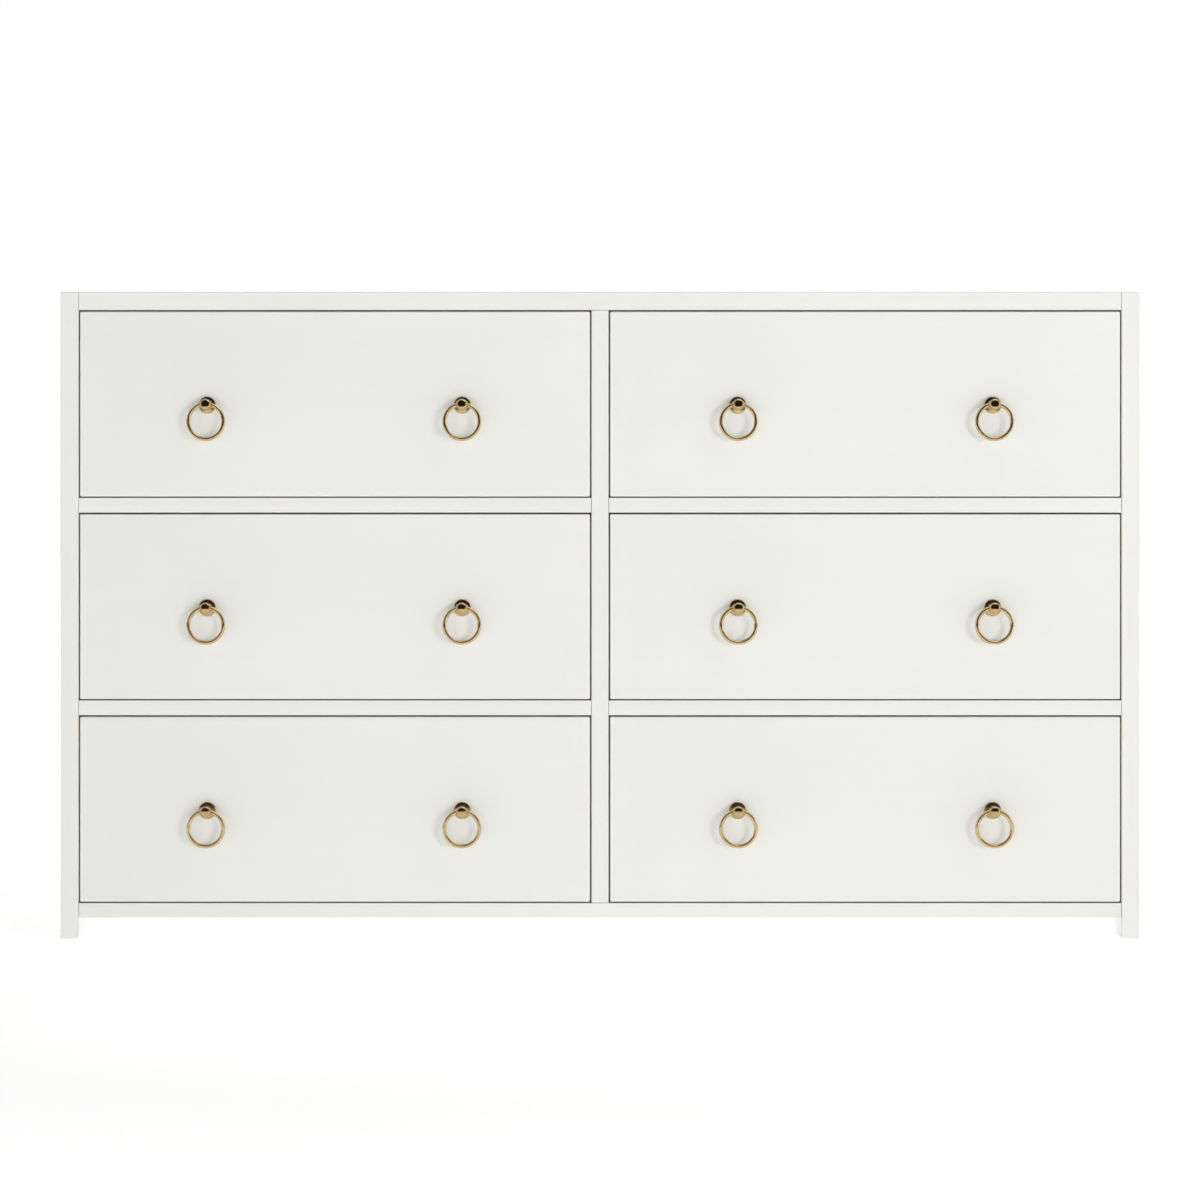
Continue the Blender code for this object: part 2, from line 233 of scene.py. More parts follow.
def timber(name, light, dark, pore, spacing=0.0046, wander=0.012, rough=(0.42, 0.58), shade=1.0):
    """Sanded wood under satin varnish. The mesh's grain attribute places it in a log: X runs along the trunk, and the yearly rings go round it, so a board's face, edge and end each show their own figure."""
    n = Nodes(name)
    light, dark, pore = (tuple(c * shade for c in tone) for tone in (light, dark, pore))
    bend = n.noise(n.attribute("grain", (1.5, 6.5, 6.5)), 1.0, 2.0, 0.45)
    x, y, z = n.split(n.attribute("grain"))
    radius = n.math(
        "SQRT", n.math("ADD", n.math("MULTIPLY", y, y), n.math("MULTIPLY", z, z))
    )
    radius = n.math("ADD", radius, n.span(bend, 0.2, 0.8, -wander, wander))
    rings = n.math("FRACT", n.math("DIVIDE", radius, spacing))
    cloud = n.noise(n.attribute("grain", (2.2, 9.0, 9.0)), 1.0, 3.0)
    band = n.ramp(rings, (0.0, (0, 0, 0)), (0.55, (0.22, 0.22, 0.22)), (0.90, (1, 1, 1)), (1.0, (0, 0, 0)))
    strength = n.math("MULTIPLY", band, n.span(cloud, 0.3, 0.7, 0.35, 0.85))
    colour = n.mix(strength, light, dark)
    fibre = n.noise(n.attribute("grain", (16, 650, 650)), 1.0, 2.0, 0.6)
    colour = n.mix(n.span(fibre, 0.55, 0.74, 0.0, 0.42), colour, pore)
    drift = n.noise(n.attribute("grain", (0.8, 5.0, 5.0), (4.0, 1.0, 2.0)), 1.0, 2.0)
    colour = n.mix(n.span(drift, 0.3, 0.7, 0.0, 0.28), colour, tuple((a + b) / 2 for a, b in zip(dark, light)))
    n.set(
        Base_Color=colour,
        Roughness=n.span(fibre, 0.35, 0.75, *rough),
        Normal=n.bump(fibre, 0.00010, 0.5),
    )
    n.set(Specular_IOR_Level=0.35)
    return n.mat


def brass(name, bright, brown, rough, patina_and_shade_rings=()):
    """Antique brass: polished high spots, brown patina in clouds, fine hairline scratches. The last argument lists
    (radius, half width, strength) circles round the pull's own axis, Y, darkened on the rosette: the first is patina in
    the cove by the neck, the second is painted shade on the rolled rim.
    """
    n = Nodes(name)
    at = n.coords()
    cloud = n.noise(at, 130.0, 4.0, 0.6)
    tarnish_and_shade = n.span(cloud, 0.42, 0.74, 0.0, 0.30)
    if patina_and_shade_rings:
        x, y, z = n.split(at)
        radius = n.math(
            "SQRT", n.math("ADD", n.math("MULTIPLY", x, x), n.math("MULTIPLY", z, z))
        )
        # only on the rosette, not on the knob in front of it
        deep = n.span(y, 0.0078, 0.0100, 0.0, 1.0)
        # each circle darkens the rosette: patina in the neck's cove, painted shade on the rolled rim
        for centre, width, strength in patina_and_shade_rings:
            off = n.math("ABSOLUTE", n.math("SUBTRACT", radius, centre))
            ring = n.span(off, 0.0, width, strength, 0.0)
            tarnish_and_shade = n.math("MAXIMUM", tarnish_and_shade, n.math("MULTIPLY", ring, deep))
    colour = n.mix(tarnish_and_shade, bright, brown)
    hair = n.noise(n.coords(scale=(900, 60, 900)), 1.0, 2.0)
    blotch = n.noise(at, 60.0, 3.0)
    dull = n.math("MULTIPLY", tarnish_and_shade, 0.14)
    if patina_and_shade_rings:
        dull = n.math("ADD", dull, n.math("MULTIPLY", deep, 0.09))
    n.set(
        Base_Color=colour,
        Metallic=1.0,
        Roughness=n.math(
            "ADD",
            n.span(blotch, 0.3, 0.7, rough * 0.8, rough * 1.25),
            dull,
        ),
        Normal=n.bump(hair, 0.00001, 0.35),
    )
    return n.mat


SIDE_LOW, SIDE_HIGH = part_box("side_panel_left")
TOP_LOW, TOP_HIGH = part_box("top_panel")
BOTTOM_LOW, BOTTOM_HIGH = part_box("bottom_panel")
BACK_LOW, BACK_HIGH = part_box("back_panel")
Y_FRONT, Y_BACK = SIDE_LOW.y, SIDE_HIGH.y
HEIGHT = SIDE_HIGH.z
INSIDE_FROM = Y_FRONT + 0.0055
INNER_X = abs(SIDE_HIGH.x)

MAT = {
    "paint_x": lacquer("white_lacquer_x", "X"),
    "paint_z": lacquer("white_lacquer_z", "Z"),
    "side": lacquer(
        "lacquered_side",
        "Z",
        (("X", INNER_X + 0.0006, INNER_X + 0.0002), ("Z", BOTTOM_LOW.z - 0.001, BOTTOM_LOW.z + 0.001)),
    ),
    "top": lacquer("lacquered_top", "X", (("Z", TOP_LOW.z + 0.0006, TOP_LOW.z + 0.0002),)),
    "bottom": lacquer("lacquered_bottom", "X", (("Z", BOTTOM_HIGH.z - 0.0006, BOTTOM_HIGH.z - 0.0002),)),
    "divider": lacquer("lacquered_divider", "Z", (("Z", -1.0, -0.9),)),
    "rail": lacquer("lacquered_rail", "X", (("Z", -1.0, -0.9),)),
    "wood": timber("box_wood", (0.66, 0.49, 0.315), (0.50, 0.335, 0.19), (0.36, 0.225, 0.12)),
    "wood_end": timber("box_wood_end", (0.66, 0.49, 0.315), (0.50, 0.335, 0.19), (0.36, 0.225, 0.12), rough=(0.6, 0.72), shade=0.70),
    "ply": timber("plywood_face", (0.70, 0.545, 0.375), (0.58, 0.42, 0.265), (0.44, 0.30, 0.17), spacing=0.021, wander=0.075, rough=(0.5, 0.62)),
    "back_ply": timber("back_plywood", (0.62, 0.475, 0.32), (0.49, 0.35, 0.215), (0.36, 0.24, 0.14), spacing=0.026, wander=0.10, rough=(0.58, 0.7)),
    "frame": timber("runner_wood", (0.58, 0.42, 0.26), (0.43, 0.29, 0.16), (0.28, 0.175, 0.09), spacing=0.0036),
    "frame_end": timber("runner_wood_end", (0.58, 0.42, 0.26), (0.43, 0.29, 0.16), (0.28, 0.175, 0.09), spacing=0.0036, rough=(0.6, 0.72), shade=0.7),
    "brass": brass("antique_brass", (0.66, 0.49, 0.25), (0.14, 0.08, 0.03), 0.08),
    "brass_base": brass(
        "antique_brass_rosette",
        (0.54, 0.39, 0.185),
        (0.070, 0.042, 0.018),
        0.10,
        # patina in the cove by the neck, then painted shade on the rosette's rolled rim
        ((0.0046, 0.0022, 0.80), (0.0117, 0.0009, 0.40)),
    ),
    "steel": None,
}


def steel():
    n = Nodes("zinc_screw")
    at = n.coords()
    cloud = n.noise(at, 220.0, 3.0)
    n.set(
        Base_Color=n.ramp(cloud, (0.3, (0.50, 0.50, 0.48)), (0.7, (0.62, 0.61, 0.57))),
        Metallic=1.0,
        Roughness=n.span(cloud, 0.3, 0.7, 0.28, 0.42),
        Normal=n.bump(n.noise(at, 1500.0, 2.0), 0.00001, 0.4),
    )
    return n.mat


MAT["steel"] = steel()


# ==================================================================== mesh kit
def finish_mesh(bm, name, mats, smooth_angle=35.0):
    mesh = bpy.data.meshes.new(name)
    bmesh.ops.recalc_face_normals(bm, faces=bm.faces)
    bm.to_mesh(mesh)
    bm.free()
    for mat in mats:
        mesh.materials.append(mat)
    mesh.shade_smooth()
    mesh.set_sharp_from_angle(angle=math.radians(smooth_angle))
    return mesh


def add_object(name, mesh, location=(0, 0, 0)):
    obj = bpy.data.objects.new(name, mesh)
    obj.location = location
    scene.collection.objects.link(obj)
    return obj


def cuboid(bm, low, high):
    """A box added to bm; returns its vertices."""
    low, high = Vector(low), Vector(high)
    made = bmesh.ops.create_cube(bm, size=1.0)["verts"]
    bmesh.ops.scale(bm, vec=high - low, verts=made)
    bmesh.ops.translate(bm, vec=(low + high) / 2, verts=made)
    return made


def prism(bm, outline, x0, x1, axis="X"):
    """A flat outline pushed from x0 to x1 along an axis. The outline's pairs are the other two axes in X, Y, Z order."""

    def at(u, v, w):
        return {"X": (w, u, v), "Y": (u, w, v), "Z": (u, v, w)}[axis]

    near = [bm.verts.new(at(u, v, x0)) for u, v in outline]
    far = [bm.verts.new(at(u, v, x1)) for u, v in outline]
    faces = [bm.faces.new(near), bm.faces.new(list(reversed(far)))]
    count = len(outline)
    for i in range(count):
        j = (i + 1) % count
        faces.append(bm.faces.new((near[i], far[i], far[j], near[j])))
    return near + far, faces


def lathe(bm, profile, segments, centre=(0, 0, 0)):
    """Turns a (radius, height) profile round the way out of the drawer face, -Y. Closed where the radius is 0."""
    rings = []
    for r, h in profile:
        if r < 1e-7:
            rings.append([bm.verts.new((centre[0], centre[1] - h, centre[2]))])
            continue
        rings.append(
            [
                bm.verts.new(
                    (
                        centre[0] + r * math.cos(2 * math.pi * i / segments),
                        centre[1] - h,
                        centre[2] + r * math.sin(2 * math.pi * i / segments),
                    )
                )
                for i in range(segments)
            ]
        )
    for a, b in zip(rings, rings[1:]):
        for i in range(segments):
            j = (i + 1) % segments
            quad = [a[i % len(a)], b[i % len(b)], b[j % len(b)], a[j % len(a)]]
            unique = []
            for v in quad:
                if v not in unique:
                    unique.append(v)
            if len(unique) > 2:
                bm.faces.new(unique)


def bake_modifiers(obj):
    bpy.context.view_layer.update()
    graph = bpy.context.evaluated_depsgraph_get()
    mesh = bpy.data.meshes.new_from_object(obj.evaluated_get(graph))
    obj.modifiers.clear()
    obj.data = mesh


def soften(bm, width, segments=3, edges=None, angle=40.0):
    """Rounds the sharp edges of everything in bm, or only the given ones."""
    bmesh.ops.recalc_face_normals(bm, faces=bm.faces)
    if edges is None:
        edges = [
            e
            for e in bm.edges
            if len(e.link_faces) == 2 and e.calc_face_angle(0) > math.radians(angle)
        ]
    bmesh.ops.bevel(
        bm,
        geom=edges,
        offset=width,
        segments=segments,
        profile=0.5,
        affect="EDGES",
        clamp_overlap=True,
    )


def steady_normals(mesh, limit=40.0):
    """Weights the shading normals by face area, so wide flat faces shade flat and only the rounded edges turn."""
    nearby = [[] for _ in mesh.vertices]
    faces = [(Vector(p.normal), p.area) for p in mesh.polygons]
    for k, face in enumerate(mesh.polygons):
        for i in face.vertices:
            nearby[i].append(k)
    least = math.cos(math.radians(limit))
    normals = []
    for k, face in enumerate(mesh.polygons):
        own = faces[k][0]
        for i in face.vertices:
            total = Vector((0.0, 0.0, 0.0))
            for j in nearby[i]:
                if faces[j][0].dot(own) > least:
                    total += faces[j][0] * faces[j][1]
            normals.append(tuple(total.normalized()))
    mesh.normals_split_custom_set(normals)
    return mesh


def give_wear(mesh, strength=1.0):
    """Writes the wear attribute: highest along the middle of each rounded edge, nothing on the flats."""
    flat = set()
    for face in mesh.polygons:
        if max(abs(c) for c in face.normal) > 0.9995:
            flat.update(face.vertices)
    values = []
    for i, normal in enumerate(mesh.vertex_normals):
        straight = 1.0 if i in flat else max(abs(c) for c in normal.vector)
        values.append(strength * min(1.0, max(0.0, (0.955 - straight) / 0.16)))
    layer = mesh.attributes.new("wear", "FLOAT", "POINT")
    layer.data.foreach_set("value", values)
    return mesh


def give_grain(mesh, seed, end=None, pith=(0.055, 0.12)):
    """Writes the grain attribute for each separate board in a mesh: X along its longest side, with its own place in the log. Faces that cut across the grain take material slot end."""
    owner = list(range(len(mesh.vertices)))

    def root(i):
        while owner[i] != i:
            owner[i] = owner[owner[i]]
            i = owner[i]
        return i

    for edge in mesh.edges:
        a, b = root(edge.vertices[0]), root(edge.vertices[1])
        if a != b:
            owner[max(a, b)] = min(a, b)
    boards = {}
    for i in range(len(mesh.vertices)):
        boards.setdefault(root(i), []).append(i)
    rng = random.Random(seed)
    places = [(0.0, 0.0, 0.0)] * len(mesh.vertices)
    along = {}
    for key in sorted(boards):
        members = boards[key]
        points = [mesh.vertices[i].co for i in members]
        low = [min(p[k] for p in points) for k in range(3)]
        high = [max(p[k] for p in points) for k in range(3)]
        spans = sorted(range(3), key=lambda k: high[k] - low[k])
        thin, wide, long = spans
        shift = (rng.uniform(0, 6), rng.uniform(*pith) * rng.choice((-1, 1)), rng.uniform(-0.05, 0.05))
        middle = [(a + b) / 2 for a, b in zip(low, high)]
        for i, p in zip(members, points):
            places[i] = (
                p[long] - middle[long] + shift[0],
                p[thin] - middle[thin] + shift[1],
                p[wide] - middle[wide] + shift[2],
            )
        along[key] = long
    layer = mesh.attributes.new("grain", "FLOAT_VECTOR", "POINT")
    layer.data.foreach_set("vector", [v for place in places for v in place])
    if end is not None:
        for face in mesh.polygons:
            if abs(face.normal[along[root(face.vertices[0])]]) > 0.8:
                face.material_index = end
    return mesh


def paint_by(mesh, choose):
    """Gives each face the material slot that choose(centre, normal) names."""
    for face in mesh.polygons:
        face.material_index = choose(face.center, face.normal)


def stand_in(obj, slot, *nodes):
    body = frame["nodes"][nodes[0]]["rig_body"]
    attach(obj, body)
    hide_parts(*nodes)
    return obj


# ===================================================================== carcass
def panel_outline(foot=0.044, curve=0.024, arch=0.027, steps=14):
    """A side panel's outline in (Y, Z), with the arch between its feet."""
    front, back = Y_FRONT + foot, Y_BACK - foot
    points = [(Y_FRONT, 0.0), (front, 0.0)]
    for i in range(steps + 1):
        a = math.pi - i * math.pi / 2 / steps
        points.append((front + curve + curve * math.cos(a), arch - curve + curve * math.sin(a)))
    for i in range(steps + 1):
        a = math.pi / 2 - i * math.pi / 2 / steps
        points.append((back - curve + curve * math.cos(a), arch - curve + curve * math.sin(a)))
    points += [(back, 0.0), (Y_BACK, 0.0), (Y_BACK, HEIGHT), (Y_FRONT, HEIGHT)]
    return points


def side_panel(name):
    low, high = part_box(name)
    outer, inner = (low.x, high.x) if low.x < 0 else (high.x, low.x)
    bm = bmesh.new()
    prism(bm, panel_outline(), low.x, high.x)
    # the soles of the feet are eased more than the other edges
    bmesh.ops.recalc_face_normals(bm, faces=bm.faces)
    bm.normal_update()
    soles = [
        e
        for e in bm.edges
        if all(v.co.z < 1e-5 for v in e.verts) and e.calc_face_angle(0) > math.radians(40)
    ]
    soften(bm, 0.0040, 4, edges=soles)
    bm.normal_update()
    soften(bm, 0.0013, 4)
    mesh = finish_mesh(bm, name + "_shape", [MAT["side"]])
    obj = add_object(name + "_board", mesh)
    rebate = bmesh.new()
    reach = BACK_HIGH.x + 0.0003
    x0, x1 = sorted((inner * 0.98, math.copysign(reach, inner)))
    cuboid(rebate, (x0, BACK_LOW.y - 0.0003, BACK_LOW.z - 0.0003), (x1, Y_BACK + 0.02, BACK_HIGH.z + 0.0003))
    tool_mesh = bpy.data.meshes.new("rebate_tool")
    bmesh.ops.recalc_face_normals(rebate, faces=rebate.faces)
    rebate.to_mesh(tool_mesh)
    rebate.free()
    tool = add_object("rebate_tool", tool_mesh)
    cut = obj.modifiers.new("rebate", "BOOLEAN")
    cut.operation, cut.solver, cut.object = "DIFFERENCE", "EXACT", tool
    bake_modifiers(obj)
    bpy.data.objects.remove(tool, do_unlink=True)
    obj.data.shade_smooth()
    obj.data.set_sharp_from_angle(angle=math.radians(35))
    give_grain(give_wear(steady_normals(obj.data)), name)
    stand_in(obj, "white_paint", name)


side_panel("side_panel_left")
side_panel("side_panel_right")


def rounded_board(name, low, high, mats, width, segments=3, slot="white_paint", nodes=None):
    bm = bmesh.new()
    cuboid(bm, low, high)
    soften(bm, width, segments)
    mesh = finish_mesh(bm, name + "_shape", mats)
    give_grain(give_wear(steady_normals(mesh)), name, 1 if len(mats) > 1 else None)
    return stand_in(add_object(name + "_board", mesh), slot, *(nodes or [name]))


# the top has a step along its back edge for the back panel
bm = bmesh.new()
y_step, z_step = BACK_LOW.y - 0.0003, BACK_HIGH.z + 0.0003
prism(
    bm,
    [
        (Y_FRONT, TOP_LOW.z),
        (y_step, TOP_LOW.z),
        (y_step, z_step),
        (Y_BACK, z_step),
        (Y_BACK, TOP_HIGH.z),
        (Y_FRONT, TOP_HIGH.z),
    ],
    TOP_LOW.x,
    TOP_HIGH.x,
)
soften(bm, 0.0010, 3)
top = add_object(
    "top_panel_board",
    give_grain(
        give_wear(steady_normals(finish_mesh(bm, "top_panel_shape", [MAT["top"]]))), "top"
    ),
)
stand_in(top, "white_paint", "top_panel")

rounded_board("bottom_panel", BOTTOM_LOW, BOTTOM_HIGH, [MAT["bottom"]], 0.0009)
rounded_board("center_divider", *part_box("center_divider"), [MAT["divider"]], 0.0009)



# ------------------------------------------------ web frames, guides, the back
FRAME_FRONT, FRAME_BACK, FRAME_SIDE = 0.060, 0.050, 0.045
for row in ("lower", "upper"):
    for column in ("left", "right"):
        name = f"web_frame_{row}_{column}"
        low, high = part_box(name)
        bm = bmesh.new()
        cuboid(bm, low, (high.x, low.y + FRAME_FRONT, high.z))
        cuboid(bm, (low.x, high.y - FRAME_BACK, low.z), high)
        for x0, x1 in ((low.x, low.x + FRAME_SIDE), (high.x - FRAME_SIDE, high.x)):
            cuboid(
                bm,
                (x0, low.y + FRAME_FRONT + 0.0002, low.z + 0.0002),
                (x1, high.y - FRAME_BACK - 0.0002, high.z - 0.0002),
            )
        soften(bm, 0.0007, 3)
        mesh = give_wear(
            steady_normals(finish_mesh(bm, name + "_shape", [MAT["rail"], MAT["frame"]]))
        )
        paint_by(mesh, lambda c, n: 1 if low.y + FRAME_FRONT < c.y < high.y - FRAME_BACK else 0)
        give_grain(mesh, name)
        stand_in(add_object(name + "_glued", mesh), "white_paint", name)

for row in ("top", "middle", "bottom"):
    for column in ("left", "right"):
        name = f"drawer_guide_{row}_{column}"
        rounded_board(name, *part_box(name), [MAT["frame"], MAT["frame_end"]], 0.0016, 4, slot="frame_wood")

# back panel, let in to the rebates and fixed with small screws
bm = bmesh.new()
cuboid(bm, BACK_LOW, BACK_HIGH)
soften(bm, 0.0004, 2)
back = add_object(
    "back_panel_board",
    give_grain(finish_mesh(bm, "back_panel_shape", [MAT["back_ply"]]), "back", pith=(0.03, 0.04)),
)
stand_in(back, "plywood", "back_panel")


def screw_mesh(name, radius, height, recess):
    """A low domed head with a cross recess, pointing along +Y from its seat at the origin."""
    bm = bmesh.new()
    profile = [(0.0, 0.0), (radius, 0.0), (radius, height * 0.25)]
    for i in range(1, 8):
        a = math.pi / 2 * i / 7
        profile.append((radius * math.cos(a), height * (0.25 + 0.75 * math.sin(a))))
    profile[-1] = (0.0, height)
    lathe(bm, [(r, -h) for r, h in profile], 28)
    obj = add_object(name, finish_mesh(bm, name, [MAT["steel"]], 40))
    tool_bm = bmesh.new()
    w, l = recess * 0.24, recess
    outline = [(-w, -l), (w, -l), (w, -w), (l, -w), (l, w), (w, w), (w, l), (-w, l), (-w, w), (-l, w), (-l, -w), (-w, -w)]
    prism(tool_bm, outline, height * 0.35, height * 2, axis="Y")
    carve(obj, tool_bm)
    mesh = obj.data
    bpy.data.objects.remove(obj, do_unlink=True)
    return mesh


def carve(obj, tool_bm):
    """Cuts what tool_bm holds out of obj."""
    bmesh.ops.recalc_face_normals(tool_bm, faces=tool_bm.faces)
    mesh = bpy.data.meshes.new("tool")
    tool_bm.to_mesh(mesh)
    tool_bm.free()
    tool = add_object("tool", mesh)
    cut = obj.modifiers.new("cut", "BOOLEAN")
    cut.operation, cut.solver, cut.object, cut.use_self = "DIFFERENCE", "EXACT", tool, True
    bake_modifiers(obj)
    bpy.data.objects.remove(tool, do_unlink=True)
    obj.data.shade_smooth()
    obj.data.set_sharp_from_angle(angle=math.radians(38))


def joined(name, mesh, places):
    """One object holding a copy of mesh at each place."""
    bm = bmesh.new()
    for place in places:
        before = len(bm.verts)
        bm.from_mesh(mesh)
        bm.verts.ensure_lookup_table()
        bmesh.ops.transform(bm, matrix=place, verts=bm.verts[before:])
    out = bpy.data.meshes.new(name)
    bm.to_mesh(out)
    bm.free()
    for mat in mesh.materials:
        out.materials.append(mat)
    return add_object(name, out)


SCREW = screw_mesh("back_screw", 0.0036, 0.0016, 0.0019)
seats = []
xs = [BACK_LOW.x + 0.006 + (BACK_HIGH.x - BACK_LOW.x - 0.012) * i / 8 for i in range(9)]
zs = [BACK_LOW.z + 0.008 + (BACK_HIGH.z - BACK_LOW.z - 0.016) * i / 5 for i in range(6)]
for i, x in enumerate(xs):
    for z in (zs[0], zs[-1]):
        seats.append((x, z))
for z in zs[1:-1]:
    seats += [(xs[0], z), (0.0, z), (xs[-1], z)]
screws = joined(
    "back_panel_screws",
    SCREW,
    [
        Matrix.Translation((x, BACK_HIGH.y + 0.0001, z)) @ Matrix.Rotation(0.7 * i, 4, "Y")
        for i, (x, z) in enumerate(seats)
    ],
)
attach(screws, "carcass")


# ===================================================================== drawers
def drawer_front_mesh(low, high):
    size = high - low
    bm = bmesh.new()
    cuboid(bm, -size / 2, size / 2)
    soften(bm, 0.0020, 4)
    return give_wear(
        steady_normals(finish_mesh(bm, "drawer_front_shape", [MAT["paint_x"]])), 0.45
    )


ROWS, COLUMNS = ("top", "middle", "bottom"), ("left", "right")
FRONT_BOARD, SIDE_BOARD, BACK_BOARD = 0.015, 0.0127, 0.0127
GROOVE_UP, PLY_T = 0.014, 0.006
NOTCH_W, NOTCH_H = 0.0106, 0.0123
FIT = 0.00012            # play in the dovetails, which shows as a fine line


def tails(z0, z1, count, depth, slope=1 / 6.5):
    """(low, high) of each tail at its wide end and at its root, over a board's height."""
    pitch = (z1 - z0) / count
    gap = pitch * 0.24
    flare = depth * slope
    return [
        (
            (z0 + i * pitch + gap / 2, z0 + (i + 1) * pitch - gap / 2),
            (z0 + i * pitch + gap / 2 + flare, z0 + (i + 1) * pitch - gap / 2 - flare),
        )
        for i in range(count)
    ]


def tail_board(bm, x0, x1, y0, y1, z0, z1, front, back, count):
    """A drawer side in (Y, Z) with dovetails at both ends."""
    outline = []
    for (a, b), (c, d) in tails(z0, z1, count, front):
        outline += [(y0 + front, c), (y0, a), (y0, b), (y0 + front, d)]
    left = outline
    right = []
    for (a, b), (c, d) in tails(z0, z1, count, back):
        right += [(y1 - back, c), (y1, a), (y1, b), (y1 - back, d)]
    first = [(y0 + front, z0)]
    last = [(y0 + front, z1)]
    points = first + left + last + [(y1 - back, z1)] + list(reversed(right)) + [(y1 - back, z0)]
    clean = []
    for p in points:
        if not clean or (abs(p[0] - clean[-1][0]) + abs(p[1] - clean[-1][1])) > 1e-6:
            clean.append(p)
    prism(bm, clean, x0, x1, axis="X")


def pin_board(bm, half, side, y0, y1, z0, z1, count, outer_first, notch=None):
    """A drawer front or back with pins at both ends, lofted between its two faces. The pins are narrow on the outer face."""
    depth = y1 - y0

    def outline(outer):
        right = [(half, z0)]
        for (a, b), (c, d) in tails(z0, z1, count, depth):
            low, high = (a - FIT, b + FIT) if outer else (c - FIT, d + FIT)
            right += [
                (half, low),
                (half - side - FIT, low),
                (half - side - FIT, high),
                (half, high),
            ]
        right.append((half, z1))
        left = [(-x, z) for x, z in reversed(right)]
        points = right + left
        if notch:
            w, h = notch
            points += [(-w, z0), (-w, z0 + h), (w, z0 + h), (w, z0)]
        return points

    near = outline(outer_first)
    far = outline(not outer_first)
    a = [bm.verts.new((x, y0, z)) for x, z in near]
    b = [bm.verts.new((x, y1, z)) for x, z in far]
    bm.faces.new(a)
    bm.faces.new(list(reversed(b)))
    for i in range(len(a)):
        j = (i + 1) % len(a)
        bm.faces.new((a[i], b[i], b[j], a[j]))


def drawer_box_mesh(name, low, high):
    """The drawer's four dovetailed boards, drawn round the middle of its box."""
    size = high - low
    half, y0, y1, z0, z1 = size.x / 2, -size.y / 2, size.y / 2, -size.z / 2, size.z / 2
    bm = bmesh.new()
    for sign in (-1, 1):
        xs = sorted((sign * (half - SIDE_BOARD), sign * half))
        tail_board(bm, xs[0], xs[1], y0, y1, z0, z1, FRONT_BOARD, BACK_BOARD, 4)
    pin_board(bm, half - 0.0001, SIDE_BOARD, y0 + 0.0001, y0 + FRONT_BOARD, z0, z1, 4, True)
    pin_board(bm, half - 0.0001, SIDE_BOARD, y1 - BACK_BOARD, y1 - 0.0001, z0, z1, 4, False, (NOTCH_W, NOTCH_H))
    soften(bm, 0.0005, 2)
    mesh = finish_mesh(bm, name, [MAT["wood"], MAT["wood_end"]])
    return give_grain(mesh, name, 1)


low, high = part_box("drawer_front_top_left")
FRONT_MESH = drawer_front_mesh(low, high)


def sheet_mesh(name, low, high, inset=0.0062):
    """A drawer's plywood bottom, its edges let in to the grooves round the box."""
    size = high - low
    bm = bmesh.new()
    cuboid(
        bm,
        (-size.x / 2 + inset, -size.y / 2 + inset, -size.z / 2),
        (size.x / 2 - inset, size.y / 2 - inset, size.z / 2),
    )
    soften(bm, 0.0003, 2)
    return give_grain(finish_mesh(bm, name, [MAT["ply"]]), name, pith=(0.03, 0.04))


for row in ROWS:
    for column in COLUMNS:
        tag = f"{row}_{column}"
        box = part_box("drawer_box_" + tag)
        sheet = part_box("drawer_bottom_" + tag)
        for node, mesh, ending, slot in (
            ("drawer_front_", FRONT_MESH, "_board", "white_paint"),
            ("drawer_box_", drawer_box_mesh("drawer_box_shape_" + tag, *box), "_dovetailed", "drawer_wood"),
            ("drawer_bottom_", sheet_mesh("drawer_bottom_shape_" + tag, *sheet), "_sheet", "plywood"),
        ):
            low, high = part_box(node + tag)
            obj = add_object(node + tag + ending, mesh, (low + high) / 2)
            stand_in(obj, slot, node + tag)
        # the front is held to the box by four screws from inside
        low, high = box
        inner = low.y + FRONT_BOARD + 0.0001
        held = joined(
            f"drawer_front_screws_{tag}",
            SCREW,
            [
                Matrix.Translation((x, inner, z)) @ Matrix.Rotation(0.5 + 1.1 * k, 4, "Y")
                for k, (x, z) in enumerate(
                    (x, z)
                    for x in (low.x + 0.060, high.x - 0.060)
                    for z in (low.z + 0.050, high.z - 0.040)
                )
            ],
        )
        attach(held, "drawer_" + tag)


# ======================================================================= pulls
KNOB_R, KNOB_OUT, NECK_R, ROSETTE_R, EYE_R = 0.00775, 0.01825, 0.0036, 0.012, 0.0038
RING_R, WIRE_R, RISE = 0.0246, 0.00285, 0.0006
NUT_AT = -KNOB_OUT - 0.020 - 0.0003 - 0.015 - 0.0003


